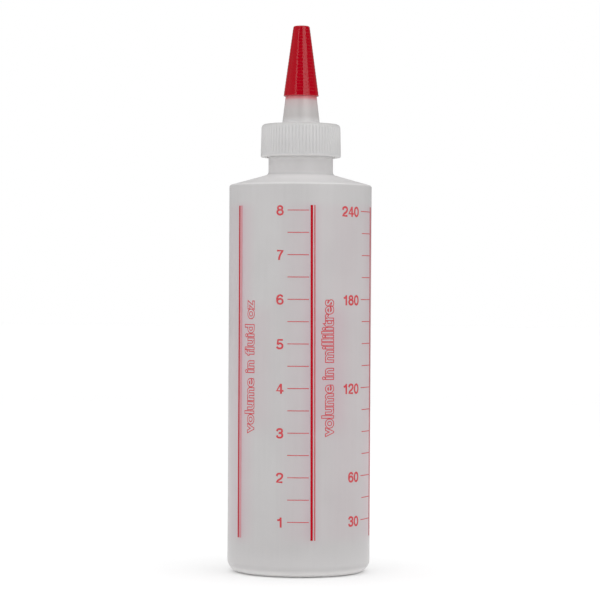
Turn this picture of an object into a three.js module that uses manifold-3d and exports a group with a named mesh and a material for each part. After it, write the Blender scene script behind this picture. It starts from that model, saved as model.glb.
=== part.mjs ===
// Squeeze bottle: a blow-moulded bottle, a seal ring, a screw-on spout cap and a pull-off tip cover.
// Millimetres, +Z up along the bottle's axis, origin at the centre of the base.
import * as THREE from 'three';
import { mergeGeometries, mergeVertices } from 'three/addons/utils/BufferGeometryUtils.js';
import Module from 'manifold-3d';

// Bottle body
const BODY_DIAMETER = 50.8;
const BODY_HEIGHT = 137.3;
const BODY_WALL = 0.75;
const BASE_CORNER_RADIUS = 4.3;
const BASE_THICKNESS = 1.1;
const STANDING_RING_WIDTH = 3.6;
const PUSH_UP_HEIGHT = 2.4;
const PUSH_UP_SLOPE_WIDTH = 6;
const SHOULDER_RISE = 4.05;
const SHOULDER_EDGE_RADIUS = 1.2;

// Neck
const NECK_HEIGHT = 15.1;
const NECK_ROOT_DIAMETER = 21.9;
const NECK_WALL = 1.3;
const NECK_FOOT_RADIUS = 0.6;
const COLLAR_STEP = 0.55;
const COLLAR_GAP = 0.4;

// Screw thread, shared by the neck and the cap
const THREAD_PITCH = 3.175;
const THREAD_TURNS = 4 / 3;
const THREAD_HEIGHT = 0.95;
const THREAD_TO_LIP = 1.6;
const THREAD_RADIAL_GAP = 0.3;
const THREAD_FLANK_GAP = 0.3;
const RIDGE_BASE_WIDTH = 1.4;
const RIDGE_CREST_WIDTH = 0.6;
const RIDGE_ROOT_SINK = 0.3;
const RIDGE_FADE_DEGREES = 30;

// Seal ring
const SEAL_THICKNESS = 0.9;
const SEAL_LAND_WIDTH = 2.4;
const SEAL_SIDE_GAP = 0.4;
const SEAL_FACE_GAP = 0.3;

// Spout cap
const SKIRT_WALL = 1.85;
const SKIRT_DRAFT_WIDTH = 0.3;
const SKIRT_LEAD_IN = 1.25;
const SKIRT_FOOT_BAND = 0.9;
const SKIRT_FOOT_ROUNDING = 0.4;
const CAP_EDGE_RADIUS = 1.4;
const DECK_THICKNESS = 1.4;
const GROOVE_COUNT = 72;
const GROOVE_WIDTH = 0.62;
const GROOVE_FLOOR_WIDTH = 0.26;
const GROOVE_DEPTH = 0.28;
const GROOVE_CUTTER_PROUD = 0.2;
const SPOUT_FOOT_DIAMETER = 13.5;
const SPOUT_FOOT_ROUNDING = 0.6;
const SPOUT_BARE_HEIGHT = 10.05;
const SPOUT_SEAT_DIAMETER = 11.06;
const SPOUT_TIP_HEIGHT = 23.4;
const SPOUT_TIP_DIAMETER = 4;
const SPOUT_TIP_ROUNDING = 0.4;
const SPOUT_WALL = 1.15;

// Tip cover
const COVER_SPOUT_GAP = 0.3;
const COVER_TIP_GAP = 0.4;
const COVER_RIM_WALL = 0.47;
const COVER_TIP_WALL = 0.6;
const COVER_END_THICKNESS = 1.25;
const COVER_TOP_ROUNDING = 0.7;
const COVER_RIM_BAND = 0.8;
const COVER_TOP_BAND = 1.2;
const COVER_RIB_COUNT = 20;
const COVER_RIB_DEPTH = 0.12;

// Facets round a full turn, and steps along a rounded corner
const BOTTLE_FACETS = 60;
const SEAL_FACETS = 48;
const COVER_FACETS = 32;
const ROUND_STEPS = 3;

// Radii and heights that follow from the sizes above
const bodyRadius = BODY_DIAMETER / 2;
const neckRootRadius = NECK_ROOT_DIAMETER / 2;
const neckFoot = BODY_HEIGHT + SHOULDER_RISE;
const lip = neckFoot + NECK_HEIGHT;
const neckCrestRadius = neckRootRadius + THREAD_HEIGHT;
const skirtBoreRadius = neckCrestRadius + THREAD_RADIAL_GAP;
const skirtCrestRadius = neckRootRadius + THREAD_RADIAL_GAP;
const sealFoot = lip + SEAL_FACE_GAP;
const sealTop = sealFoot + SEAL_THICKNESS;
const deckUnderside = sealTop + SEAL_FACE_GAP;
const deckTop = deckUnderside + DECK_THICKNESS;
const spoutSeatRadius = SPOUT_SEAT_DIAMETER / 2;
const spoutTipRadius = SPOUT_TIP_DIAMETER / 2;
const coverRim = deckTop + SPOUT_BARE_HEIGHT;
const spoutTip = coverRim + SPOUT_TIP_HEIGHT;

// The cap's ridge hangs under the neck's ridge, one flank gap below it
const flankDepth = THREAD_HEIGHT + RIDGE_ROOT_SINK;
const flankSlope = (RIDGE_BASE_WIDTH - RIDGE_CREST_WIDTH) / 2 / flankDepth;
const rootsApart = THREAD_HEIGHT + THREAD_RADIAL_GAP + 2 * RIDGE_ROOT_SINK;
const flankGapAlongAxis = THREAD_FLANK_GAP * Math.hypot(1, flankSlope);
const ridgesApart = RIDGE_BASE_WIDTH - flankSlope * rootsApart + flankGapAlongAxis;
const neckThreadTop = lip - THREAD_TO_LIP;
const skirtThreadTop = neckThreadTop - ridgesApart;
const threadRise = THREAD_TURNS * THREAD_PITCH;
const skirtThreadFoot = skirtThreadTop - threadRise - RIDGE_BASE_WIDTH / 2;
const skirtFoot = skirtThreadFoot - SKIRT_LEAD_IN;

const wasm = await Module();
wasm.setup();

// The outline through [radius, height, rounding] corners, with each rounded corner drawn as an arc
function roundedOutline(corners) {
  const places = corners.map(([radius, height]) => new THREE.Vector2(radius, height));
  return corners.flatMap(([, , rounding], index) => {
    const corner = places[index];
    if (!rounding) return [corner];
    const back = places[index - 1].clone().sub(corner).normalize();
    const onward = places[index + 1].clone().sub(corner).normalize();
    const halfAngle = back.angleTo(onward) / 2;
    const setback = rounding / Math.tan(halfAngle);
    const start = corner.clone().addScaledVector(back, setback);
    const end = corner.clone().addScaledVector(onward, setback);
    const toCentre = back.clone().add(onward).setLength(rounding / Math.sin(halfAngle));
    const centre = corner.clone().add(toCentre);
    return Array.from({ length: ROUND_STEPS + 1 }, (_, step) => {
      const chordPoint = start.clone().lerp(end, step / ROUND_STEPS);
      return chordPoint.sub(centre).setLength(rounding).add(centre);
    });
  });
}

// A closed solid from a geometry: shared corners are merged, and slivers on the axis are left out
function solid(geometry) {
  geometry.deleteAttribute('normal');
  geometry.deleteAttribute('uv');
  const merged = mergeVertices(geometry);
  const index = merged.index.array;
  const triangles = [];
  for (let start = 0; start < index.length; start += 3) {
    const [a, b, c] = index.slice(start, start + 3);
    if (a !== b && b !== c && c !== a) triangles.push(a, b, c);
  }
  return new wasm.Manifold(new wasm.Mesh({
    numProp: 3,
    vertProperties: new Float32Array(merged.attributes.position.array),
    triVerts: new Uint32Array(triangles),
  }));
}

function turned(corners, facets) {
  const geometry = new THREE.LatheGeometry(roundedOutline(corners), facets);
  return solid(geometry.rotateX(Math.PI / 2));
}

// A right-hand thread ridge on the wall at rootRadius, sunk back into that wall at both of its ends.
// Its sections stand midway between the wall's facet edges.
function threadRidge(rootRadius, crestRadius, topHeight, wallFacets) {
  const outward = Math.sign(crestRadius - rootRadius);
  const buriedRadius = rootRadius - outward * RIDGE_ROOT_SINK;
  const sunkRadius = (rootRadius + buriedRadius) / 2;
  const steps = Math.round(THREAD_TURNS * wallFacets);
  const sweep = 360 * steps / wallFacets;
  const positions = [];
  for (let step = 0; step <= steps; step++) {
    const turn = sweep * step / steps;
    const risen = Math.min(1, turn / RIDGE_FADE_DEGREES, (sweep - turn) / RIDGE_FADE_DEGREES);
    const ridgeRadius = THREE.MathUtils.lerp(sunkRadius, crestRadius, risen);
    const height = topHeight - THREAD_PITCH * (sweep - turn) / 360;
    const section = [
      [buriedRadius, -RIDGE_BASE_WIDTH / 2],
      [ridgeRadius, -RIDGE_CREST_WIDTH / 2],
      [ridgeRadius, RIDGE_CREST_WIDTH / 2],
      [buriedRadius, RIDGE_BASE_WIDTH / 2],
    ];
    if (outward < 0) section.reverse();
    const angle = THREE.MathUtils.degToRad(turn + 180 / wallFacets);
    for (const [radius, offset] of section) {
      positions.push(radius * Math.cos(angle), radius * Math.sin(angle), height + offset);
    }
  }
  const corners = positions.length / 3 / (steps + 1);
  const index = [];
  for (let step = 0; step < steps; step++) {
    for (let side = 0; side < corners; side++) {
      const near = corners * step + side;
      const next = corners * step + (side + 1) % corners;
      index.push(near, near + corners, next, next, near + corners, next + corners);
    }
  }
  const last = corners * steps;
  index.push(0, 1, 2, 0, 2, 3, last, last + 2, last + 1, last, last + 3, last + 2);
  const geometry = new THREE.BufferGeometry();
  geometry.setAttribute('position', new THREE.Float32BufferAttribute(positions, 3));
  geometry.setIndex(index);
  return solid(geometry);
}

function bottle() {
  const innerRadius = bodyRadius - BODY_WALL;
  const collarRadius = neckRootRadius + COLLAR_STEP;
  const neckBoreRadius = neckRootRadius - NECK_WALL;
  const ringInnerRadius = bodyRadius - BASE_CORNER_RADIUS - STANDING_RING_WIDTH;
  const pushUpRadius = ringInnerRadius - PUSH_UP_SLOPE_WIDTH;
  const collarTop = skirtThreadFoot - COLLAR_GAP;
  const shoulderSlope = SHOULDER_RISE / (bodyRadius - collarRadius);
  const underShoulder = (radius) =>
    BODY_HEIGHT + shoulderSlope * (bodyRadius - radius) - BODY_WALL * Math.hypot(1, shoulderSlope);
  const shell = turned([
    [0, PUSH_UP_HEIGHT],
    [pushUpRadius, PUSH_UP_HEIGHT],
    [ringInnerRadius, 0],
    [bodyRadius, 0, BASE_CORNER_RADIUS],
    [bodyRadius, BODY_HEIGHT, SHOULDER_EDGE_RADIUS],
    [collarRadius, neckFoot, NECK_FOOT_RADIUS],
    [collarRadius, collarTop - COLLAR_STEP],
    [neckRootRadius, collarTop],
    [neckRootRadius, lip],
    [neckBoreRadius, lip],
    [neckBoreRadius, underShoulder(neckBoreRadius), NECK_FOOT_RADIUS],
    [innerRadius, underShoulder(innerRadius), SHOULDER_EDGE_RADIUS],
    [innerRadius, BASE_THICKNESS, BASE_CORNER_RADIUS - BODY_WALL],
    [ringInnerRadius, BASE_THICKNESS],
    [pushUpRadius, PUSH_UP_HEIGHT + BASE_THICKNESS],
    [0, PUSH_UP_HEIGHT + BASE_THICKNESS],
  ], BOTTLE_FACETS);
  return shell.add(threadRidge(neckRootRadius, neckCrestRadius, neckThreadTop, BOTTLE_FACETS));
}

function sealRing() {
  const outerRadius = skirtBoreRadius - SEAL_SIDE_GAP;
  const innerRadius = neckRootRadius - SEAL_LAND_WIDTH;
  return turned([
    [innerRadius, sealFoot],
    [outerRadius, sealFoot],
    [outerRadius, sealTop],
    [innerRadius, sealTop],
    [innerRadius, sealFoot],
  ], SEAL_FACETS);
}

// The finger grip: upright grooves round the skirt, sunk along its drafted side
function gripGrooves(footRadius, topRadius) {
  const grooveFoot = skirtFoot + SKIRT_FOOT_BAND;
  const grooveTop = deckTop - CAP_EDGE_RADIUS;
  const draft = (footRadius - topRadius) / (deckTop - skirtFoot);
  const radius = footRadius - draft * SKIRT_FOOT_BAND;
  const spread = (GROOVE_WIDTH - GROOVE_FLOOR_WIDTH) / 2 / GROOVE_DEPTH;
  const mouth = GROOVE_WIDTH / 2 + spread * GROOVE_CUTTER_PROUD;
  const floor = GROOVE_FLOOR_WIDTH / 2;
  const section = new THREE.Shape([
    new THREE.Vector2(-GROOVE_DEPTH, -floor),
    new THREE.Vector2(GROOVE_CUTTER_PROUD, -mouth),
    new THREE.Vector2(GROOVE_CUTTER_PROUD, mouth),
    new THREE.Vector2(-GROOVE_DEPTH, floor),
  ]);
  const groove = new THREE.ExtrudeGeometry(section, { depth: grooveTop - grooveFoot, bevelEnabled: false });
  groove.rotateY(-Math.atan(draft)).translate(radius, 0, grooveFoot);
  const cutters = Array.from({ length: GROOVE_COUNT }, (_, place) =>
    groove.clone().rotateZ(2 * Math.PI * (place + 0.5) / GROOVE_COUNT));
  return solid(mergeGeometries(cutters));
}

function spoutCap() {
  const topRadius = skirtBoreRadius + SKIRT_WALL;
  const footRadius = topRadius + SKIRT_DRAFT_WIDTH;
  const spoutFootRadius = SPOUT_FOOT_DIAMETER / 2;
  const moulding = turned([
    [skirtBoreRadius, skirtFoot],
    [footRadius, skirtFoot, SKIRT_FOOT_ROUNDING],
    [topRadius, deckTop, CAP_EDGE_RADIUS],
    [spoutFootRadius, deckTop, SPOUT_FOOT_ROUNDING],
    [spoutSeatRadius, coverRim],
    [spoutTipRadius, spoutTip, SPOUT_TIP_ROUNDING],
    [spoutTipRadius - SPOUT_WALL, spoutTip],
    [spoutSeatRadius - SPOUT_WALL, coverRim],
    [spoutFootRadius - SPOUT_WALL, deckUnderside],
    [skirtBoreRadius, deckUnderside],
    [skirtBoreRadius, skirtFoot],
  ], GROOVE_COUNT);
  const ridge = threadRidge(skirtBoreRadius, skirtCrestRadius, skirtThreadTop, GROOVE_COUNT);
  return moulding.subtract(gripGrooves(footRadius, topRadius)).add(ridge);
}

function tipCover() {
  const innerRimRadius = spoutSeatRadius + COVER_SPOUT_GAP;
  const innerTopRadius = spoutTipRadius + COVER_SPOUT_GAP;
  const innerTop = spoutTip + COVER_TIP_GAP;
  const top = innerTop + COVER_END_THICKNESS;
  const rimRadius = innerRimRadius + COVER_RIM_WALL;
  const topRadius = innerTopRadius + COVER_TIP_WALL;
  const sideRadius = (height) =>
    THREE.MathUtils.mapLinear(height, coverRim, top, rimRadius, topRadius);
  const ribFoot = coverRim + COVER_RIM_BAND;
  const ribPitch = (top - COVER_TOP_BAND - ribFoot) / COVER_RIB_COUNT;
  const ribs = Array.from({ length: COVER_RIB_COUNT }, (_, rib) => {
    const crest = ribFoot + rib * ribPitch;
    const groove = crest + ribPitch / 2;
    return [[sideRadius(crest), crest], [sideRadius(groove) - COVER_RIB_DEPTH, groove]];
  });
  return turned([
    [0, innerTop],
    [innerTopRadius, innerTop],
    [innerRimRadius, coverRim],
    [rimRadius, coverRim],
    ...ribs.flat(),
    [sideRadius(top - COVER_TOP_BAND), top - COVER_TOP_BAND],
    [topRadius, top, COVER_TOP_ROUNDING],
    [0, top],
  ], COVER_FACETS);
}

function piece(name, body, color, roughness) {
  const { vertProperties, triVerts } = body.getMesh();
  const geometry = new THREE.BufferGeometry();
  geometry.setAttribute('position', new THREE.BufferAttribute(vertProperties, 3));
  geometry.setIndex(new THREE.BufferAttribute(triVerts, 1));
  geometry.computeVertexNormals();
  const material = new THREE.MeshStandardMaterial({ color, roughness, metalness: 0 });
  const mesh = new THREE.Mesh(geometry, material);
  mesh.name = name;
  return mesh;
}

const squeezeBottle = new THREE.Group();
squeezeBottle.add(
  piece('bottle', bottle(), '#c9c7c5', 0.45),
  piece('seal_ring', sealRing(), '#e6e4df', 0.8),
  piece('spout_cap', spoutCap(), '#cfcdcb', 0.4),
  piece('tip_cover', tipCover(), '#b0141f', 0.35),
);

export default squeezeBottle;
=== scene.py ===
"""Finished look of a squeeze bottle: turned milky shell, printed scales, spout cap and red tip cover."""
import math

import bmesh
import bpy
from mathutils import Euler, Matrix, Vector


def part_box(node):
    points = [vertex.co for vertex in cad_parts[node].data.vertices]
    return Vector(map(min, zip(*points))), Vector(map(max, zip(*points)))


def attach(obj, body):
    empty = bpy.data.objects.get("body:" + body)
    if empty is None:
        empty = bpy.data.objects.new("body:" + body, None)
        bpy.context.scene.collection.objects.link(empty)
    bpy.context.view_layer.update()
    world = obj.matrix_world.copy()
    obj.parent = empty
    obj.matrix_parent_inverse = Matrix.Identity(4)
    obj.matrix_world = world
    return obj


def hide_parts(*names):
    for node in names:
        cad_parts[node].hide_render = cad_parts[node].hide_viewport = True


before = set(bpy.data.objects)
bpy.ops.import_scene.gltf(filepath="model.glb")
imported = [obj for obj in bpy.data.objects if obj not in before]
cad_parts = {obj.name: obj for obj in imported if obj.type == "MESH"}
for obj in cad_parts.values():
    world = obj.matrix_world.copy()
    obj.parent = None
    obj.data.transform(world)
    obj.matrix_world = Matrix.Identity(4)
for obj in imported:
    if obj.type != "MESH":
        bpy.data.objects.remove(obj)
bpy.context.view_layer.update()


def linear(red, green, blue):
    """A colour given in screen values from 0 to 255."""
    shares = [value / 255 for value in (red, green, blue)]
    return [s / 12.92 if s <= 0.04045 else ((s + 0.055) / 1.055) ** 2.4 for s in shares] + [1]


MM = 0.001
AXIS = Vector((0, 0, 1))
FULL_TURN = 2 * math.pi
BLACK = (0, 0, 0, 1)
WHITE = (1, 1, 1, 1)

# Colour sockets of a Mix node, by number because it has others of the same names
MIX_FIRST, MIX_SECOND, MIX_RESULT = 6, 7, 2

# Points closer than this are one point, on a finished piece and on a stroke as it is drawn
SAME_PLACE = 0.00002 * MM
SAME_DRAWN_PLACE = 0.001 * MM

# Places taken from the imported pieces, in metres
BOTTLE_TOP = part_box("bottle")[1]
SEAL_FOOT, SEAL_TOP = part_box("seal_ring")
CAP_FOOT, CAP_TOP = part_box("spout_cap")
COVER_FOOT, COVER_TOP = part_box("tip_cover")

# Printed film: how far it stands proud of the wall and is sunk into it, and how wide a flat strip is
FILM_PROUD = 0.03 * MM
FILM_SUNK = 0.03 * MM
FILM_CUT = 0.5 * MM

# Bottle
BODY_RADIUS = BOTTLE_TOP.x - FILM_PROUD
BODY_HEIGHT = 137.5 * MM
BODY_WALL = 0.75 * MM
BASE_CORNER = 4.3 * MM
BASE_THICKNESS = 1.1 * MM
RING_INNER_RADIUS = 17.5 * MM
PUSH_UP_RADIUS = 11.5 * MM
PUSH_UP_HEIGHT = 2.4 * MM
PUSH_UP_ROUNDING = 3 * MM
SHOULDER_EDGE = 0.8 * MM
NECK_FOOT = 141.35 * MM
NECK_FOOT_ROUNDING = 1.3 * MM
COLLAR_RADIUS = 11.5 * MM
COLLAR_STEP = 0.55 * MM
COLLAR_TOP = 148.394 * MM
NECK_RADIUS = 10.95 * MM
NECK_BORE_RADIUS = 9.65 * MM
LIP_ROUNDING = 0.35 * MM
BOTTLE_STEPS = 192

# Thread, on the neck and in the cap
THREAD_PITCH = 3.175 * MM
THREAD_TURN = math.radians(480)
THREAD_STEPS = 192
THREAD_FADE = math.radians(30)
RIDGE_HALF_BASE = 0.7 * MM
RIDGE_HALF_CREST = 0.3 * MM
RIDGE_SINK = 0.3 * MM
NECK_CREST_RADIUS = 11.9 * MM
NECK_THREAD_TOP = 154.85 * MM
CAP_BORE_RADIUS = 12.2 * MM
CAP_CREST_RADIUS = 11.25 * MM
CAP_THREAD_TOP = 153.727 * MM

# Spout cap
CAP_TOP_RADIUS = 14.05 * MM
CAP_FOOT_ROUNDING = 0.4 * MM
CAP_EDGE = 1.75 * MM
DECK_TOP = 159.35 * MM
DECK_UNDERSIDE = 157.95 * MM
SPOUT_FOOT_RADIUS = 6.75 * MM
SPOUT_FOOT_ROUNDING = 1 * MM
SPOUT_SEAT_RADIUS = 5.53 * MM
SPOUT_TIP_RADIUS = 2 * MM
SPOUT_TIP_ROUNDING = 0.4 * MM
SPOUT_WALL = 1.15 * MM
GROOVE_COUNT = 72
GROOVE_STEPS = 8
GROOVE_WIDTH = 0.62 * MM
GROOVE_FLOOR = 0.16 * MM
GROOVE_DEPTH = 0.25 * MM
GROOVE_FOOT = 148.44 * MM
GROOVE_FOOT_SLACK = 0.01 * MM
GROOVE_RUN_OUT = 0.35 * MM
GROOVE_TOP = DECK_TOP - GROOVE_RUN_OUT

# Tip cover
COVER_TOP_RADIUS = 2.9 * MM
COVER_BORE_FOOT_RADIUS = 5.83 * MM
COVER_BORE_TOP_RADIUS = 2.3 * MM
COVER_BORE_TOP = 193.2 * MM
COVER_TOP_ROUNDING = 0.7 * MM
COVER_RIM_ROUNDING = 0.12 * MM
COVER_RIM_BAND = 0.8 * MM
COVER_TOP_BAND = 1.2 * MM
COVER_RIB_COUNT = 20
COVER_RIB_DEPTH = 0.06 * MM
COVER_RIB_ROUNDING = 0.1 * MM
COVER_LEDGE_SHARE = 0.28
COVER_STEPS = 128

# Seal ring
SEAL_INNER_RADIUS = 8.55 * MM
SEAL_ROUNDING = 0.2 * MM
SEAL_STEPS = 96

# Steps of a rounded corner, and the angle from which an edge of a piece is sharp
ROUND_STEPS = 6
SHARP_ANGLE = math.radians(40)

# Printed scales: heights in metres, places round the wall in degrees from the front
TICK_COUNT = 15
TICK_TOP = 128.02 * MM
TICK_PITCH = 7.746 * MM
TICK_THICKNESS = 0.27 * MM
OUNCE_TICK = (-9.8, 7.2)
MILLILITRE_TICK = (59.2, 75.8)
MILLILITRE_LONG_TICK = (57.5, 75.8)

# Upright bars: the width of each by its place
BAR_FOOT = 13.2 * MM
BAR_TOP = 129.8 * MM
THICK_BARS = {-56.95: 0.72 * MM, 9.4: 0.84 * MM, 77.6: 0.84 * MM}
THIN_BARS = {11.85: 0.4 * MM, 80.1: 0.4 * MM}
PALE_BARS = {-54.3: 1.2 * MM}

# The print sits a little askew: its lean and its spread along the wall for each metre below a level
PRINT_LEVEL = 91 * MM
PRINT_LEAN = 0.0048
PRINT_SPREAD = 0.12

# Numbers: align is 0.5 to centre one on its place and 1 to end it there, drop is from its tick, and
# stroke is a share of its height; each number of millilitres is by the count of its tick from the top
OUNCE_DIGITS = dict(place=-15.9, align=0.5, drop=0.12 * MM, width=3.65 * MM, tall=3.5 * MM, stroke=0.19)
MILLILITRE_DIGITS = dict(place=54.2, align=1, drop=0.26 * MM, width=3.6 * MM, tall=3.55 * MM, stroke=0.21)
MILLILITRE_NUMBERS = {0: "240", 4: "180", 8: "120", 12: "60", 14: "30"}

# Words, in hollow letters
UNIT_WORDS = [
    dict(words="volume in fluid oz", place=-43.9, low=49.9 * MM, high=96.8 * MM),
    dict(words="volume in millilitres", place=22.6, low=49.1 * MM, high=97.1 * MM),
]
WORD_HEIGHT = 4.9 * MM
WORD_STROKE = 0.25 * MM
WORD_BOLDNESS = 0.14 * MM
WORD_CURVE_STEPS = 4

# Middle lines of the printed digits on a unit height: a path is its points, then "loop" if it
# closes; a point with a third value is a corner
DIGIT_CURVE_STEPS = 5
DIGIT_GAP = 0.09
DIGIT_WIDTH = 0.7
DIGIT_WIDTHS = {"1": 0.62}
DIGIT_PATHS = {
    "0": [[(0.35, 0.925), (0.625, 0.5), (0.35, 0.075), (0.075, 0.5), "loop"]],
    "1": [[(0.43, 1, 1), (0.43, 0, 1)], [(0.43, 0.88), (0.3, 0.76), (0.1, 0.71)]],
    "2": [[(0.085, 0.66), (0.14, 0.85), (0.35, 0.925), (0.565, 0.85), (0.615, 0.68), (0.5, 0.46),
           (0.22, 0.27), (0.085, 0.075, 1), (0.64, 0.075, 1)]],
    "3": [[(0.09, 0.7), (0.15, 0.86), (0.35, 0.925), (0.55, 0.86), (0.59, 0.71), (0.51, 0.58),
           (0.28, 0.535)],
          [(0.26, 0.53), (0.52, 0.485), (0.62, 0.3), (0.54, 0.13), (0.34, 0.075), (0.14, 0.14),
           (0.075, 0.3)]],
    "4": [[(0.48, 1, 1), (0.48, 0, 1)], [(0.45, 0.93, 1), (0.05, 0.3, 1), (0.72, 0.3, 1)]],
    "5": [[(0.65, 0.925, 1), (0.18, 0.925, 1), (0.12, 0.47, 1)],
          [(0.12, 0.47), (0.33, 0.575), (0.55, 0.5), (0.62, 0.32), (0.54, 0.14), (0.32, 0.075),
           (0.13, 0.13), (0.075, 0.26)]],
    "6": [[(0.6, 0.74), (0.53, 0.88), (0.36, 0.925), (0.16, 0.82), (0.075, 0.48), (0.15, 0.16),
           (0.35, 0.075), (0.56, 0.15), (0.625, 0.33), (0.55, 0.51), (0.36, 0.575), (0.17, 0.5),
           (0.085, 0.36)]],
    "7": [[(0.06, 0.925, 1), (0.63, 0.925, 1), (0.43, 0.62), (0.3, 0.3), (0.25, 0)]],
    "8": [[(0.35, 0.925), (0.57, 0.735), (0.35, 0.545), (0.13, 0.735), "loop"],
          [(0.35, 0.555), (0.625, 0.31), (0.35, 0.075), (0.075, 0.31), "loop"]],
}

# Noises of the finishes: scale, detail and, where it is drawn out, stretch along each axis
MILK_CLOUDS = (55, 3)
MILK_STREAKS = (900, 2, (1, 1, 0.03))
MILK_SKIN = (2600, 3)
COVER_CLOUDS = (180, 3)
COVER_GRAIN = (2400, 2)
SEAL_CLOUDS = (300, 2)
INK_MESH_MARKS = (1800, 2)
INK_PATCHES = (260, 3)
FLOOR_GRAIN = (40, 2)

# Bumps of the finishes: strength and depth
MILK_BUMP = (0.25, 0.02 * MM)
COVER_BUMP = (0.1, 0.02 * MM)
SEAL_BUMP = (0.5, 0.08 * MM)
INK_BUMP = (0.2, 0.01 * MM)

# Milky plastic: how its noises mix in its colour and its relief, and how far they change its roughness
CLOUD_SHARE = 0.7
CLOUD_RANGE = (0.3, 0.7)
SKIN_SHARE = 0.6
MILK_SKIN_DULLING = 0.16
MILK_CLOUD_DULLING = 0.1

# Light that goes into the milky plastic: its share, how deep it goes and that depth's share by colour
MILK_LIGHT_SHARE = 0.2
MILK_LIGHT_DEPTH = 2 * MM
MILK_LIGHT_COLOURS = (1.0, 0.95, 0.9)

# Finish of the bottle, and the painted light that makes its corners lighter: where each light starts,
# where it is full, its strength
BOTTLE_ROUGHNESS = 0.36
BOTTLE_GLOSS = 0.2
BOTTLE_MILK = linear(192, 190, 190)
BOTTLE_CLOUD = linear(188, 186, 186)
# Painted light, lighter milk at the foot and the neck
PAINTED_LIGHT_MILK = linear(206, 204, 204)
# Painted light on the shoulder, lighter still on its upper part
SHOULDER_LIT_MILK = linear(197, 195, 195)
UPPER_SHOULDER_LIT_MILK = linear(214, 212, 212)
# Painted highlight along the shoulder's edge
SHOULDER_EDGE_HIGHLIGHT = linear(220, 218, 218)
# Painted light at the base corner and round the collar's top, against the shade at the floor and under
# the cap
CORNER_LIT_MILK = linear(244, 242, 241)
FOOT_LIGHT = (12 * MM, 2 * MM)
FOOT_LIGHT_STRENGTH = 0.55
BASE_LIGHT = (3 * MM, 0.5 * MM)
NECK_LIGHT = (NECK_FOOT - 0.5 * MM, NECK_FOOT + 0.5 * MM)
SHOULDER_LIGHT = (BODY_HEIGHT - 0.4 * MM, BODY_HEIGHT + 0.4 * MM)
UPPER_SHOULDER_LIGHT = (BODY_HEIGHT + 0.5 * MM, NECK_FOOT)

# Painted highlight on each side of the shoulder's edge and painted light on each side of the collar's
# top, by the distance from it
SHOULDER_EDGE_LIGHT = (0.4 * MM, 0.1 * MM)
SHOULDER_EDGE_STRENGTH = 0.35
COLLAR_LIGHT = (2.8 * MM, 0.4 * MM)

# Parting lines of the mould, at the bottle's two sides
PARTING_LINE_HALF_WIDTH = math.radians(0.7)
PARTING_LINE_RELIEF = 6

# Painted pink glow that stands in for red light the print scatters through the wall: heights where it
# starts, is full, stops being full and ends, then its upright strips, each with its middle and half width
# in degrees and its strength
PRINT_GLOW_PINK = linear(190, 170, 176)
PRINT_GLOW_HEIGHTS = (10 * MM, 16 * MM, 128 * MM, 132 * MM)
PRINT_GLOW_STRIPS = [
    (-72, 20, 0.24), (-54.5, 7, 0.42), (-53, 18, 0.54), (0, 22, 0.25), (9.5, 10, 0.42), (42, 48, 0.25),
    (80, 26, 0.66)]
WORD_GLOW_HEIGHTS = (46 * MM, 58 * MM, 90 * MM, 98 * MM)
WORD_GLOW_STRIPS = [(-38, 26, 0.3), (24, 24, 0.65)]

# Finish of the cap, and its painted light and shade, lighter on the upper skirt, spout foot and skirt
# rim, darker on the deck's edge and the spout: the heights where each starts and is full, its strength
# and colour
CAP_ROUGHNESS = 0.34
CAP_GLOSS = 0.25
CAP_MILK = linear(200, 199, 199)
CAP_CLOUD = linear(196, 195, 195)
CAP_PAINTED_SHADING = {
    "upper skirt": (CAP_FOOT.z + 3 * MM, DECK_TOP - 3 * MM, 0.6, linear(207, 206, 206)),
    "deck": (DECK_TOP - CAP_EDGE, DECK_TOP, 1, linear(182, 181, 180)),
    "spout foot": (DECK_TOP, DECK_TOP + 0.5 * MM, 1, linear(204, 202, 202)),
    "spout": (DECK_TOP + 0.8 * MM, DECK_TOP + 3 * MM, 1, linear(185, 181, 180)),
    "skirt rim": (CAP_FOOT.z + 0.6 * MM, CAP_FOOT.z, 1, linear(212, 211, 210)),
}

# Painted pink glow on the spout round the cover's foot, in place of red light from the cover: heights
# from that foot, as for the glow round the print, strength and colour
COVER_GLOW_TINTS = {
    "broad glow": ((-6 * MM, 0, 0, 3 * MM), 0.7, linear(192, 162, 164)),
    "seat": ((-1.9 * MM, -0.4 * MM, 0, 0.6 * MM), 0.85, linear(207, 99, 105)),
}

# Finish of the tip cover, and the painted light that makes its rim paler
COVER_RED = linear(161, 1, 20)
COVER_CLOUD_RED = linear(166, 2, 24)
COVER_RIM_GLOW_PINK = linear(214, 110, 114)
COVER_RIM_LIGHT_HEIGHT = 0.3 * MM
COVER_RIM_LIGHT_STRENGTH = 0.35
COVER_ROUGHNESS = 0.08
COVER_GRAIN_DULLING = 0.05
COVER_CLOUD_DULLING = 0.04
COVER_GLOSS = 0.12

# Finish of the seal ring
SEAL_CREAM = linear(222, 219, 212)
SEAL_CLOUD_CREAM = linear(232, 230, 225)
SEAL_CELL_SCALE = 2200
SEAL_ROUGHNESS = 0.8
SEAL_CLOUD_DULLING = 0.15

# Inks: full colour, colour where the ink is thin, and how much thin ink shows
DENSE_INK = (linear(174, 1, 24), linear(184, 40, 54), 0.25)
THIN_INK = (linear(195, 75, 81), linear(200, 118, 122), 0.6)
PALE_INK = (linear(195, 139, 145), linear(195, 161, 165), 0.8)
INK_PATCH_SHARE = 0.65
INK_THIN_RANGE = (0.5, 0.75)
INK_ROUGHNESS = 0.5
INK_MESH_DULLING = 0.2
INK_GLOSS = 0.04

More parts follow.
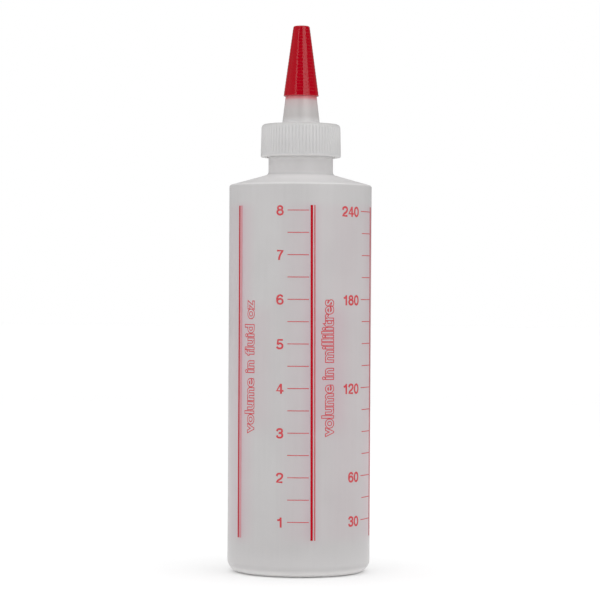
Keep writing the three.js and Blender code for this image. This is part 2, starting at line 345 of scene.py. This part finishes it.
# Studio
WORLD_LIGHT = 1.1
FLOOR_REACH = 6
FLOOR_CELLS = 4
FLOOR_GREY = (0.8, 0.8, 0.8, 1)
FLOOR_GRAIN_GREY = (0.82, 0.82, 0.82, 1)
FLOOR_ROUGHNESS = 0.9
FLOOR_GLOSS = 0.1
FLOOR_GLOW = 0.12
SOFTBOX_PLACE = Vector((0.05, -0.15, 0.95))
SOFTBOX_AIM = Vector((0, 0, 0.1))
SOFTBOX_WIDTH = 0.7
SOFTBOX_POWER = 1.2

# Studio cards round the bottle, each a low and a high half with its own glow: start and end are in
# degrees from the front, the middle and the top are heights in metres
CARD_REACH = 1.6
CARD_STEPS = 24
CARDS = {
    "front_card": dict(start=-32, end=14, low_glow=0.08, high_glow=0.01, middle=0.25, top=1.1),
    "right_window_card": dict(start=14, end=57, low_glow=0.5, high_glow=5.5, middle=0.5, top=2.4),
    "right_card": dict(start=57, end=108, low_glow=0.4, high_glow=0.1, middle=0.25, top=0.8),
    "right_back_card": dict(start=108, end=168, low_glow=0.35, high_glow=0.25, middle=0.25, top=1.8),
    "back_card": dict(start=168, end=192, low_glow=0.4, high_glow=0.4, middle=0.8, top=1.8),
    "left_strip_card": dict(start=-44, end=-32, low_glow=0.6, high_glow=4.5, middle=0.5, top=2.4),
    "left_card": dict(start=-110, end=-44, low_glow=0.7, high_glow=0.8, middle=0.25, top=1.8),
    "left_back_card": dict(start=-168, end=-110, low_glow=0.4, high_glow=0.3, middle=0.25, top=1.8),
}

# Camera
EYE = Vector((0, -895, 100.28)) * MM
EYE_PITCH = math.radians(-0.229)
EYE_ROLL = math.radians(-0.34)
LENS = 150.4
SENSOR = 36


class Wire:
    """A node's output that takes Python arithmetic; each step adds a Math node."""

    def __init__(self, nodes, socket):
        self.nodes = nodes
        self.socket = socket

    def math(self, operation, *terms):
        return self.nodes.add("ShaderNodeMath", {"operation": operation}, dict(enumerate(terms)))

    def __add__(self, other):
        return self.math("ADD", self, other)

    __radd__ = __add__

    def __sub__(self, other):
        return self.math("SUBTRACT", self, other)

    def __rsub__(self, other):
        return self.math("SUBTRACT", other, self)

    def __mul__(self, other):
        return self.math("MULTIPLY", self, other)

    __rmul__ = __mul__

    def __abs__(self):
        return self.math("ABSOLUTE", self)


class Nodes:
    """The node tree of a finish, of the floor or of the surroundings."""

    def __init__(self, owner):
        owner.use_nodes = True
        self.owner = owner
        self.tree = owner.node_tree
        self.tree.nodes.clear()

    def add(self, kind, settings, sockets, output=0):
        made = self.tree.nodes.new(kind)
        for setting, value in settings.items():
            setattr(made, setting, value)
        for socket, value in sockets.items():
            if isinstance(value, Wire):
                self.tree.links.new(value.socket, made.inputs[socket])
            else:
                made.inputs[socket].default_value = value
        return Wire(self, made.outputs[output]) if made.outputs else None

    def place(self):
        return self.add("ShaderNodeTexCoord", {}, {}, "Object")

    def along(self, axis):
        return self.add("ShaderNodeSeparateXYZ", {}, {"Vector": self.place()}, axis)

    def noise(self, scale, detail, stretch=(1, 1, 1)):
        mapped = self.add("ShaderNodeMapping", {}, {"Vector": self.place(), "Scale": stretch})
        return self.add("ShaderNodeTexNoise", {}, {"Vector": mapped, "Scale": scale, "Detail": detail})

    def ease(self, value, start, full):
        """0 at start, 1 where it is full, smooth between."""
        sockets = {"Value": value, "From Min": start, "From Max": full}
        return self.add("ShaderNodeMapRange", {"interpolation_type": "SMOOTHSTEP"}, sockets)

    def band(self, value, start, full, full_end, end):
        """0 up to start, 1 between full and full_end, 0 from end on."""
        return self.ease(value, start, full) * self.ease(value, end, full_end)

    def tint(self, factor, colour, other):
        """The first colour where the factor is 0, the other where it is 1."""
        sockets = {"Factor": factor, MIX_FIRST: colour, MIX_SECOND: other}
        return self.add("ShaderNodeMix", {"data_type": "RGBA"}, sockets, MIX_RESULT)

    def bump(self, height, strength, depth):
        return self.add("ShaderNodeBump", {}, {"Height": height, "Strength": strength, "Distance": depth})

    def surface(self, settings, sockets):
        """Ends the tree in a surface, and gives back the material that it belongs to."""
        shader = self.add("ShaderNodeBsdfPrincipled", settings, sockets)
        self.add("ShaderNodeOutputMaterial", {}, {"Surface": shader})
        return self.owner


def swing(noise, reach):
    """A change both ways from a noise, whose middle is a half."""
    return (noise - 0.5) * reach


def natural_plastic(nodes, colour, cloudy, roughness):
    """Milky moulded plastic: its clouded colour, satin roughness, and relief with upright streaks."""
    clouds = nodes.noise(*MILK_CLOUDS)
    streaks = nodes.noise(*MILK_STREAKS)
    skin = nodes.noise(*MILK_SKIN)
    shade = nodes.ease(clouds * CLOUD_SHARE + streaks * (1 - CLOUD_SHARE), *CLOUD_RANGE)
    satin = roughness + swing(skin, MILK_SKIN_DULLING) + swing(clouds, MILK_CLOUD_DULLING)
    relief = skin * SKIN_SHARE + streaks * (1 - SKIN_SHARE)
    return nodes.tint(shade, cloudy, colour), satin, relief


def finish_plastic(nodes, base, satin, relief, gloss):
    """A milky surface that lets a little light through."""
    return nodes.surface({"subsurface_method": "RANDOM_WALK"}, {
        "Base Color": base,
        "Roughness": satin,
        "Specular IOR Level": gloss,
        "Subsurface Weight": MILK_LIGHT_SHARE,
        "Subsurface Radius": MILK_LIGHT_COLOURS,
        "Subsurface Scale": MILK_LIGHT_DEPTH,
        "Normal": nodes.bump(relief, *MILK_BUMP),
    })


def bottle_finish():
    """Natural plastic with painted light that makes its corners lighter, a painted pink glow round the
    print, and two parting lines.
    """
    nodes = Nodes(bpy.data.materials.new("natural_bottle"))
    base, satin, relief = natural_plastic(nodes, BOTTLE_MILK, BOTTLE_CLOUD, BOTTLE_ROUGHNESS)
    across, depth, height = [nodes.along(axis) for axis in "XYZ"]
    turn = across.math("ARCTAN2", across, depth * -1)

    def strip(middle, half_width, strength):
        away = abs(turn - math.radians(middle))
        return nodes.ease(away, math.radians(half_width), 0) * strength

    # Painted pink glow round the print and the words, in place of red light scattered through the wall
    printed = nodes.band(height, *PRINT_GLOW_HEIGHTS) * sum(strip(*row) for row in PRINT_GLOW_STRIPS)
    worded = nodes.band(height, *WORD_GLOW_HEIGHTS) * sum(strip(*row) for row in WORD_GLOW_STRIPS)
    base = nodes.tint(printed + worded, base, PRINT_GLOW_PINK)
    # Painted light: lighter towards the foot, at the neck and on the shoulder
    foot = nodes.ease(height, *FOOT_LIGHT) * FOOT_LIGHT_STRENGTH
    neck = nodes.ease(height, *NECK_LIGHT)
    base = nodes.tint(foot + neck, base, PAINTED_LIGHT_MILK)
    shoulder = nodes.ease(height, *SHOULDER_LIGHT) - neck
    base = nodes.tint(shoulder, base, SHOULDER_LIT_MILK)
    upper_shoulder = nodes.ease(height, *UPPER_SHOULDER_LIGHT) * shoulder
    base = nodes.tint(upper_shoulder, base, UPPER_SHOULDER_LIT_MILK)
    # Painted highlight along the shoulder's edge
    edge = nodes.ease(abs(height - BODY_HEIGHT), *SHOULDER_EDGE_LIGHT) * SHOULDER_EDGE_STRENGTH
    base = nodes.tint(edge, base, SHOULDER_EDGE_HIGHLIGHT)
    # Painted light round the collar's top and at the base corner, against the shade under the cap and at
    # the floor
    collar = nodes.ease(abs(height - COLLAR_TOP), *COLLAR_LIGHT)
    base = nodes.tint(nodes.ease(height, *BASE_LIGHT) + collar, base, CORNER_LIT_MILK)
    parting_line = nodes.ease(abs(abs(turn) - FULL_TURN / 4), PARTING_LINE_HALF_WIDTH, 0)
    relief += parting_line * PARTING_LINE_RELIEF
    return finish_plastic(nodes, base, satin, relief, BOTTLE_GLOSS)


def cap_finish():
    """Natural plastic, a little fresher, with painted light and shade by height and a painted pink glow
    from the red cover where it seats.
    """
    nodes = Nodes(bpy.data.materials.new("natural_cap"))
    base, satin, relief = natural_plastic(nodes, CAP_MILK, CAP_CLOUD, CAP_ROUGHNESS)
    height = nodes.along("Z")
    # Painted light and shade by height
    for start, full, strength, colour in CAP_PAINTED_SHADING.values():
        base = nodes.tint(nodes.ease(height, start, full) * strength, base, colour)
    # Painted pink glow of the red cover's light on the spout
    for heights, strength, colour in COVER_GLOW_TINTS.values():
        base = nodes.tint(nodes.band(height - COVER_FOOT.z, *heights) * strength, base, colour)
    return finish_plastic(nodes, base, satin, relief, CAP_GLOSS)


def cover_finish():
    """Red plastic with a soft gloss, faint colour clouds and a rim made paler by painted light."""
    nodes = Nodes(bpy.data.materials.new("red_cover"))
    clouds = nodes.noise(*COVER_CLOUDS)
    grain = nodes.noise(*COVER_GRAIN)
    base = nodes.tint(clouds, COVER_RED, COVER_CLOUD_RED)
    # Painted light that makes the rim paler
    rim = nodes.ease(nodes.along("Z"), COVER_FOOT.z + COVER_RIM_LIGHT_HEIGHT, COVER_FOOT.z)
    dulling = swing(grain, COVER_GRAIN_DULLING) + swing(clouds, COVER_CLOUD_DULLING)
    return nodes.surface({}, {
        "Base Color": nodes.tint(rim * COVER_RIM_LIGHT_STRENGTH, base, COVER_RIM_GLOW_PINK),
        "Roughness": COVER_ROUGHNESS + dulling,
        "Specular IOR Level": COVER_GLOSS,
        "Normal": nodes.bump(grain, *COVER_BUMP),
    })


def seal_finish():
    """Off-white foam with fine cells."""
    nodes = Nodes(bpy.data.materials.new("seal_foam"))
    sockets = {"Vector": nodes.place(), "Scale": SEAL_CELL_SCALE}
    cells = nodes.add("ShaderNodeTexVoronoi", {"feature": "F1"}, sockets)
    clouds = nodes.noise(*SEAL_CLOUDS)
    return nodes.surface({}, {
        "Base Color": nodes.tint(clouds, SEAL_CREAM, SEAL_CLOUD_CREAM),
        "Roughness": SEAL_ROUGHNESS + swing(clouds, SEAL_CLOUD_DULLING),
        "Normal": nodes.bump(cells, *SEAL_BUMP),
    })


def ink_finish(name, dense, sparse, patchiness):
    """Red screen ink, thinner in places so that the milky wall shows through."""
    nodes = Nodes(bpy.data.materials.new(name))
    mesh_marks = nodes.noise(*INK_MESH_MARKS)
    patches = nodes.noise(*INK_PATCHES)
    thin = nodes.ease(patches * INK_PATCH_SHARE + mesh_marks * (1 - INK_PATCH_SHARE), *INK_THIN_RANGE)
    return nodes.surface({}, {
        "Base Color": nodes.tint(thin * patchiness, dense, sparse),
        "Roughness": INK_ROUGHNESS + swing(mesh_marks, INK_MESH_DULLING),
        "Specular IOR Level": INK_GLOSS,
        "Normal": nodes.bump(mesh_marks, *INK_BUMP),
    })


def add_object(name, bm, material):
    """One object in the scene from a finished bmesh."""
    mesh = bpy.data.meshes.new(name)
    bm.to_mesh(mesh)
    bm.free()
    mesh.materials.append(material)
    made = bpy.data.objects.new(name, mesh)
    bpy.context.scene.collection.objects.link(made)
    return made


def make_piece(name, bm, finish, body):
    """One piece of the bottle from a finished bmesh, riding on its body."""
    bmesh.ops.remove_doubles(bm, verts=bm.verts, dist=SAME_PLACE)
    bmesh.ops.recalc_face_normals(bm, faces=bm.faces)
    made = add_object(name, bm, finish)
    made.data.shade_smooth()
    made.data.set_sharp_from_angle(angle=SHARP_ANGLE)
    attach(made, body)
    return made


def turn_outline(bm, corners, steps, closed=False):
    """Turns an outline of (radius, height, rounding) corners about the axis."""
    points = [bm.verts.new((radius, 0, height)) for radius, height, _ in corners]
    pairs = list(zip(points, points[1:]))
    if closed:
        pairs.append((points[-1], points[0]))
    for pair in pairs:
        bm.edges.new(pair)
    for point, (_, _, rounding) in zip(points, corners):
        if not rounding:
            continue
        back, onward = [edge.other_vert(point).co - point.co for edge in point.link_edges]
        setback = rounding / math.tan(back.angle(onward) / 2)
        bmesh.ops.bevel(
            bm, geom=[point], offset=setback, offset_type="OFFSET", affect="VERTICES",
            segments=ROUND_STEPS, profile=0.5, material=-1)
    outline = [v for v in bm.verts if not v.link_faces] + [e for e in bm.edges if not e.link_faces]
    bmesh.ops.spin(
        bm, geom=outline, cent=(0, 0, 0), axis=AXIS, angle=FULL_TURN, steps=steps, use_merge=True)


def thread_ridge(bm, wall_radius, crest_radius, top):
    """A ridge that climbs round the neck or the cap's bore and fades at both ends."""
    climb = THREAD_PITCH * THREAD_TURN / FULL_TURN
    foot = top - climb
    root = wall_radius - math.copysign(RIDGE_SINK, crest_radius - wall_radius)
    section = [
        (root, -RIDGE_HALF_BASE), (wall_radius, -RIDGE_HALF_BASE), (crest_radius, -RIDGE_HALF_CREST),
        (crest_radius, RIDGE_HALF_CREST), (wall_radius, RIDGE_HALF_BASE), (root, RIDGE_HALF_BASE)]
    points = [bm.verts.new((radius, 0, foot + rise)) for radius, rise in section]
    end = bm.faces.new(points)
    before = set(bm.verts) - set(points)
    bmesh.ops.spin(
        bm, geom=[end], cent=(0, 0, 0), axis=AXIS, dvec=AXIS * (climb / THREAD_STEPS), angle=THREAD_TURN,
        steps=THREAD_STEPS)
    for point in set(bm.verts) - before:
        angle = math.atan2(point.co.y, point.co.x)
        rough = (point.co.z - foot) / THREAD_PITCH * FULL_TURN
        along = angle + FULL_TURN * round((rough - angle) / FULL_TURN)
        fade = min(1, along / THREAD_FADE, (THREAD_TURN - along) / THREAD_FADE)
        radius = point.co.xy.length
        if abs(radius - crest_radius) < RIDGE_SINK:
            point.co.xy *= (wall_radius + (crest_radius - wall_radius) * max(fade, 0)) / radius


def make_bottle():
    """The hollow bottle, its outside and inside in one outline, with the thread on its neck."""
    inner_radius = BODY_RADIUS - BODY_WALL
    slope = (NECK_FOOT - BODY_HEIGHT) / (BODY_RADIUS - COLLAR_RADIUS)
    drop = BODY_WALL * math.hypot(1, slope)

    def under_shoulder(radius):
        return BODY_HEIGHT + slope * (BODY_RADIUS - radius) - drop

    bm = bmesh.new()
    turn_outline(bm, [
        (0, PUSH_UP_HEIGHT, 0),
        (PUSH_UP_RADIUS, PUSH_UP_HEIGHT, PUSH_UP_ROUNDING),
        (RING_INNER_RADIUS, 0, PUSH_UP_ROUNDING),
        (BODY_RADIUS, 0, BASE_CORNER),
        (BODY_RADIUS, BODY_HEIGHT, SHOULDER_EDGE),
        (COLLAR_RADIUS, NECK_FOOT, NECK_FOOT_ROUNDING),
        (COLLAR_RADIUS, COLLAR_TOP - COLLAR_STEP, COLLAR_STEP / 2),
        (NECK_RADIUS, COLLAR_TOP, 0),
        (NECK_RADIUS, BOTTLE_TOP.z, LIP_ROUNDING),
        (NECK_BORE_RADIUS, BOTTLE_TOP.z, LIP_ROUNDING),
        (NECK_BORE_RADIUS, under_shoulder(NECK_BORE_RADIUS), NECK_FOOT_ROUNDING),
        (inner_radius, under_shoulder(inner_radius), SHOULDER_EDGE),
        (inner_radius, BASE_THICKNESS, BASE_CORNER - BODY_WALL),
        (RING_INNER_RADIUS, BASE_THICKNESS, PUSH_UP_ROUNDING),
        (PUSH_UP_RADIUS, PUSH_UP_HEIGHT + BASE_THICKNESS, PUSH_UP_ROUNDING),
        (0, PUSH_UP_HEIGHT + BASE_THICKNESS, 0),
    ], BOTTLE_STEPS)
    thread_ridge(bm, NECK_RADIUS, NECK_CREST_RADIUS, NECK_THREAD_TOP)
    made = make_piece("milky_bottle", bm, bottle_finish(), "bottle")
    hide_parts("bottle")


def groove_depth(angle, height):
    """How deep the finger grip's grooves are at an angle round the cap; they fade in its top edge."""
    pitch = FULL_TURN / GROOVE_COUNT
    from_groove = abs((angle / pitch) % 1 - 0.5) * pitch * CAP_TOP_RADIUS
    rise = (GROOVE_WIDTH / 2 - from_groove) / ((GROOVE_WIDTH - GROOVE_FLOOR) / 2)
    fade = (GROOVE_TOP - height) / (CAP_EDGE - GROOVE_RUN_OUT)
    return GROOVE_DEPTH * min(1, max(0, rise)) * min(1, max(0, fade))


def make_cap():
    """The cap with its grooved grip, its spout and bore, and its inner thread."""
    foot_radius = CAP_TOP.x
    draft = (foot_radius - CAP_TOP_RADIUS) / (DECK_TOP - CAP_FOOT.z)

    def side(height):
        return foot_radius - draft * (height - CAP_FOOT.z)

    sides = (GROOVE_FOOT - GROOVE_RUN_OUT, GROOVE_FOOT, DECK_TOP - CAP_EDGE)
    bm = bmesh.new()
    turn_outline(bm, [
        (CAP_BORE_RADIUS, CAP_FOOT.z, 0),
        (foot_radius, CAP_FOOT.z, CAP_FOOT_ROUNDING),
        *[(side(height), height, 0) for height in sides],
        (CAP_TOP_RADIUS, DECK_TOP, CAP_EDGE - GROOVE_RUN_OUT),
        (SPOUT_FOOT_RADIUS, DECK_TOP, SPOUT_FOOT_ROUNDING),
        (SPOUT_SEAT_RADIUS, COVER_FOOT.z, 0),
        (SPOUT_TIP_RADIUS, CAP_TOP.z, SPOUT_TIP_ROUNDING),
        (SPOUT_TIP_RADIUS - SPOUT_WALL, CAP_TOP.z, 0),
        (SPOUT_SEAT_RADIUS - SPOUT_WALL, COVER_FOOT.z, 0),
        (SPOUT_FOOT_RADIUS - SPOUT_WALL, DECK_UNDERSIDE, 0),
        (CAP_BORE_RADIUS, DECK_UNDERSIDE, 0),
    ], GROOVE_COUNT * GROOVE_STEPS, closed=True)
    for point in bm.verts:
        radius = point.co.xy.length
        if point.co.z > GROOVE_FOOT - GROOVE_FOOT_SLACK and radius > CAP_TOP_RADIUS - CAP_EDGE:
            depth = groove_depth(math.atan2(point.co.y, point.co.x), point.co.z)
            point.co.xy *= (radius - depth) / radius
    thread_ridge(bm, CAP_BORE_RADIUS, CAP_CREST_RADIUS, CAP_THREAD_TOP)
    made = make_piece("milky_spout_cap", bm, cap_finish(), "spout_cap")
    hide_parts("spout_cap")


def make_cover():
    """A hollow cone of stacked ribs, each with a short ledge."""
    rim_radius = COVER_TOP.x

    def side(height):
        share = (height - COVER_FOOT.z) / (COVER_TOP.z - COVER_FOOT.z)
        return rim_radius + (COVER_TOP_RADIUS - rim_radius) * share

    foot = COVER_FOOT.z + COVER_RIM_BAND
    top = COVER_TOP.z - COVER_TOP_BAND
    pitch = (top - foot) / COVER_RIB_COUNT
    ribs = []
    for rib in range(COVER_RIB_COUNT):
        start = foot + rib * pitch
        ledge = start + pitch * (1 - COVER_LEDGE_SHARE)
        ribs.append((side(start) - COVER_RIB_DEPTH, start, COVER_RIB_ROUNDING))
        ribs.append((side(ledge), ledge, COVER_RIB_ROUNDING))
    bm = bmesh.new()
    turn_outline(bm, [
        (0, COVER_BORE_TOP, 0),
        (COVER_BORE_TOP_RADIUS, COVER_BORE_TOP, 0),
        (COVER_BORE_FOOT_RADIUS, COVER_FOOT.z, 0),
        (rim_radius, COVER_FOOT.z, COVER_RIM_ROUNDING),
        *ribs,
        (side(top) - COVER_RIB_DEPTH, top, COVER_RIB_ROUNDING),
        (COVER_TOP_RADIUS, COVER_TOP.z, COVER_TOP_ROUNDING),
        (0, COVER_TOP.z, 0),
    ], COVER_STEPS)
    made = make_piece("red_tip_cover", bm, cover_finish(), "tip_cover")
    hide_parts("tip_cover")


def make_seal():
    """A flat ring between the neck's lip and the cap's deck."""
    bm = bmesh.new()
    turn_outline(bm, [
        (SEAL_INNER_RADIUS, SEAL_FOOT.z, SEAL_ROUNDING),
        (SEAL_TOP.x, SEAL_FOOT.z, SEAL_ROUNDING),
        (SEAL_TOP.x, SEAL_TOP.z, SEAL_ROUNDING),
        (SEAL_INNER_RADIUS, SEAL_TOP.z, SEAL_ROUNDING),
    ], SEAL_STEPS, closed=True)
    made = make_piece("foam_seal_ring", bm, seal_finish(), "seal_ring")
    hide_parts("seal_ring")


def round_the_wall(degrees):
    """The distance along the wall from the front to a place in degrees."""
    return math.radians(degrees) * BODY_RADIUS


def add_stroke(film, left, right, low, high):
    """A flat stroke of film between two places along the wall and two heights."""
    stroke = bmesh.new()
    size = Matrix.Diagonal((right - left, high - low, FILM_PROUD + FILM_SUNK, 1))
    middle = Matrix.Translation(((left + right) / 2, (low + high) / 2, 0))
    bmesh.ops.create_cube(stroke, size=1, matrix=middle @ size)
    lay_film(film, stroke)


def drawn(curve):
    """A flat curve or text as a bmesh of closed strokes."""
    curve.bevel_resolution = 0
    pen = bpy.data.objects.new(curve.name, curve)
    bpy.context.scene.collection.objects.link(pen)
    shown = pen.evaluated_get(bpy.context.evaluated_depsgraph_get())
    mesh = bpy.data.meshes.new_from_object(shown)
    bm = bmesh.new()
    bm.from_mesh(mesh)
    bpy.data.objects.remove(pen)
    bpy.data.curves.remove(curve)
    bpy.data.meshes.remove(mesh)
    bmesh.ops.remove_doubles(bm, verts=bm.verts, dist=SAME_DRAWN_PLACE)
    return bm


def span(bm, axis):
    """The lowest and the highest place of a shape along an axis."""
    reach = [point.co[axis] for point in bm.verts]
    return min(reach), max(reach)


def lay_film(film, flat):
    """Cuts a flat shape into narrow strips, bends it round the wall and adds it to the film."""
    left, right = span(flat, 0)
    for cut in range(math.ceil(left / FILM_CUT), math.floor(right / FILM_CUT) + 1):
        everything = flat.verts[:] + flat.edges[:] + flat.faces[:]
        bmesh.ops.bisect_plane(
            flat, geom=everything, dist=SAME_PLACE, plane_co=(cut * FILM_CUT, 0, 0), plane_no=(1, 0, 0))
    film_middle = BODY_RADIUS + (FILM_PROUD - FILM_SUNK) / 2
    for point in flat.verts:
        along, height, lift = point.co
        drop = PRINT_LEVEL - height
        turn = (along * (1 + PRINT_SPREAD * drop) + PRINT_LEAN * drop) / BODY_RADIUS
        radius = film_middle + lift
        point.co = (radius * math.sin(turn), -radius * math.cos(turn), height)
    mesh = bpy.data.meshes.new("laid_film")
    flat.to_mesh(mesh)
    flat.free()
    film.from_mesh(mesh)
    bpy.data.meshes.remove(mesh)


def add_number(film, number, level, place, align, drop, width, tall, stroke):
    """A number on the wall beside the tick at a level."""
    curve = bpy.data.curves.new("number", "CURVE")
    curve.dimensions = "3D"
    curve.bevel_depth = stroke / 2
    curve.use_fill_caps = True
    curve.resolution_u = DIGIT_CURVE_STEPS
    reach = 0
    for digit in number:
        for path in DIGIT_PATHS[digit]:
            points = [point for point in path if point != "loop"]
            spline = curve.splines.new("BEZIER")
            spline.bezier_points.add(len(points) - 1)
            spline.use_cyclic_u = "loop" in path
            for knot, (across, up, *corner) in zip(spline.bezier_points, points):
                knot.co = (reach + across, up, 0)
                knot.handle_left_type = knot.handle_right_type = "VECTOR" if corner else "AUTO"
        reach += DIGIT_WIDTHS.get(digit, DIGIT_WIDTH) + DIGIT_GAP
    digits = drawn(curve)
    start = round_the_wall(place) - (reach - DIGIT_GAP) * width * align
    scale = (width, tall, (FILM_PROUD + FILM_SUNK) / stroke)
    bmesh.ops.scale(digits, verts=digits.verts, vec=scale)
    bmesh.ops.translate(digits, verts=digits.verts, vec=(start, level - drop - tall / 2, 0))
    lay_film(film, digits)


def add_words(film, words, place, low, high):
    """Hollow letters that read upwards, between two heights."""
    text = bpy.data.curves.new("words", "FONT")
    text.body = words
    text.size = WORD_HEIGHT
    text.fill_mode = "NONE"
    text.bevel_depth = WORD_STROKE / 2
    text.offset = WORD_BOLDNESS
    text.resolution_u = WORD_CURVE_STEPS
    letters = drawn(text)
    left, right = span(letters, 0)
    foot, top = span(letters, 1)
    film_height = (FILM_PROUD + FILM_SUNK) / WORD_STROKE
    middle = Vector((-(left + right) / 2, -(foot + top) / 2, 0))
    bmesh.ops.translate(letters, verts=letters.verts, vec=middle)
    size = ((high - low) / (right - left), WORD_HEIGHT / (top - foot), film_height)
    bmesh.ops.scale(letters, verts=letters.verts, vec=size)
    quarter = Matrix.Rotation(FULL_TURN / 4, 3, "Z")
    bmesh.ops.rotate(letters, verts=letters.verts, cent=(0, 0, 0), matrix=quarter)
    upright = (round_the_wall(place), (low + high) / 2, 0)
    bmesh.ops.translate(letters, verts=letters.verts, vec=upright)
    lay_film(film, letters)


def tick_height(tick):
    return TICK_TOP - tick * TICK_PITCH


def add_tick(film, ends, height):
    left, right = [round_the_wall(end) for end in ends]
    add_stroke(film, left, right, height - TICK_THICKNESS / 2, height + TICK_THICKNESS / 2)


def print_film(name, film, ink):
    make_piece(name, film, ink, "bottle")


def print_bars(name, bars, ink):
    film = bmesh.new()
    for place, width in bars.items():
        middle = round_the_wall(place)
        add_stroke(film, middle - width / 2, middle + width / 2, BAR_FOOT, BAR_TOP)
    print_film(name, film, ink)


def print_ounces(ink):
    """A tick every half ounce, with a number at each whole one."""
    film = bmesh.new()
    for tick in range(TICK_COUNT):
        add_tick(film, OUNCE_TICK, tick_height(tick))
        if tick % 2 == 0:
            number = str((TICK_COUNT + 1 - tick) // 2)
            add_number(film, number, tick_height(tick), **OUNCE_DIGITS)
    print_film("printed_ounce_scale", film, ink)


def print_millilitres(ink):
    """The same ticks, longer where they have a number."""
    film = bmesh.new()
    for tick in range(TICK_COUNT):
        number = MILLILITRE_NUMBERS.get(tick)
        add_tick(film, MILLILITRE_LONG_TICK if number else MILLILITRE_TICK, tick_height(tick))
        if number:
            add_number(film, number, tick_height(tick), **MILLILITRE_DIGITS)
    print_film("printed_millilitre_scale", film, ink)


def print_words(ink):
    film = bmesh.new()
    for line in UNIT_WORDS:
        add_words(film, **line)
    print_film("printed_unit_words", film, ink)


def make_print():
    dense = ink_finish("dense_red_ink", *DENSE_INK)
    thin = ink_finish("thin_red_ink", *THIN_INK)
    pale = ink_finish("pale_red_ink", *PALE_INK)
    print_bars("printed_bars", THICK_BARS, dense)
    print_bars("printed_thin_bars", THIN_BARS, thin)
    print_bars("printed_pale_bar", PALE_BARS, pale)
    print_ounces(thin)
    print_millilitres(thin)
    print_words(thin)


def seen_rays(nodes):
    """1 on rays that show the background itself, to the eye, in gloss or through glass."""
    shows = ("Is Camera Ray", "Is Glossy Ray", "Is Transmission Ray")
    camera, glossy, through = [nodes.add("ShaderNodeLightPath", {}, {}, ray) for ray in shows]
    return camera.math("MINIMUM", camera + glossy + through, 1)


def make_surroundings():
    """White to the eye, and a plain even light on the object."""
    world = bpy.data.worlds.new("studio")
    bpy.context.scene.world = world
    nodes = Nodes(world)
    light = WORLD_LIGHT + seen_rays(nodes) * (1 - WORLD_LIGHT)
    shader = nodes.add("ShaderNodeBackground", {}, {"Color": WHITE, "Strength": light})
    nodes.add("ShaderNodeOutputWorld", {}, {"Surface": shader})


def floor_finish():
    """Pale grey, with a faint glow on the rays that show it."""
    nodes = Nodes(bpy.data.materials.new("pale_floor"))
    return nodes.surface({}, {
        "Base Color": nodes.tint(nodes.noise(*FLOOR_GRAIN), FLOOR_GREY, FLOOR_GRAIN_GREY),
        "Roughness": FLOOR_ROUGHNESS,
        "Specular IOR Level": FLOOR_GLOSS,
        "Emission Color": nodes.tint(seen_rays(nodes), BLACK, WHITE),
        "Emission Strength": FLOOR_GLOW,
    })


def make_floor():
    """A wide pale floor that goes white away from the bottle's shadow."""
    bm = bmesh.new()
    bmesh.ops.create_grid(bm, x_segments=FLOOR_CELLS, y_segments=FLOOR_CELLS, size=FLOOR_REACH)
    floor = add_object("floor", bm, floor_finish())


def make_softbox():
    """A small soft lamp above the bottle."""
    lamp = bpy.data.lights.new("top_softbox", "AREA")
    lamp.shape = "SQUARE"
    lamp.size = SOFTBOX_WIDTH
    lamp.energy = SOFTBOX_POWER
    softbox = bpy.data.objects.new("top_softbox", lamp)
    softbox.location = SOFTBOX_PLACE
    softbox.rotation_euler = (SOFTBOX_AIM - SOFTBOX_PLACE).to_track_quat("-Z", "Y").to_euler()
    bpy.context.scene.collection.objects.link(softbox)


def card_finish(name, glow):
    nodes = Nodes(bpy.data.materials.new(name))
    shader = nodes.add("ShaderNodeEmission", {}, {"Strength": glow})
    nodes.add("ShaderNodeOutputMaterial", {}, {"Surface": shader})
    return nodes.owner


def add_card(name, start, end, low, high, glow):
    """A curved studio card that only gloss sees, between two places round the bottle in degrees."""
    bm = bmesh.new()
    turn = Matrix.Rotation(math.radians(start), 3, "Z")
    ends = [bm.verts.new(turn @ Vector((0, -CARD_REACH, height))) for height in (low, high)]
    edge = bm.edges.new(ends)
    sweep = math.radians(end - start)
    bmesh.ops.spin(bm, geom=ends + [edge], cent=(0, 0, 0), axis=AXIS, angle=sweep, steps=CARD_STEPS)
    card = add_object(name, bm, card_finish(name, glow))
    card.visible_camera = False
    card.visible_diffuse = False
    card.visible_transmission = False
    card.visible_shadow = False


def add_card_pair(name, start, end, low_glow, high_glow, middle, top):
    add_card(name + "_low", start, end, 0, middle, low_glow)
    add_card(name + "_high", start, end, middle, top, high_glow)


def make_lights():
    make_softbox()
    for name, card in CARDS.items():
        add_card_pair(name, **card)


def make_camera():
    """A long lens level with the middle of the bottle."""
    lens = bpy.data.cameras.new("eye")
    lens.lens = LENS
    lens.sensor_width = SENSOR
    eye = bpy.data.objects.new("eye", lens)
    eye.location = EYE
    eye.rotation_euler = Euler((FULL_TURN / 4 + EYE_PITCH, EYE_ROLL, 0))
    bpy.context.scene.collection.objects.link(eye)
    bpy.context.scene.camera = eye


make_bottle()
make_seal()
make_cap()
make_cover()
make_print()
make_surroundings()
make_floor()
make_lights()
make_camera()
bpy.context.scene.view_settings.view_transform = "Standard"
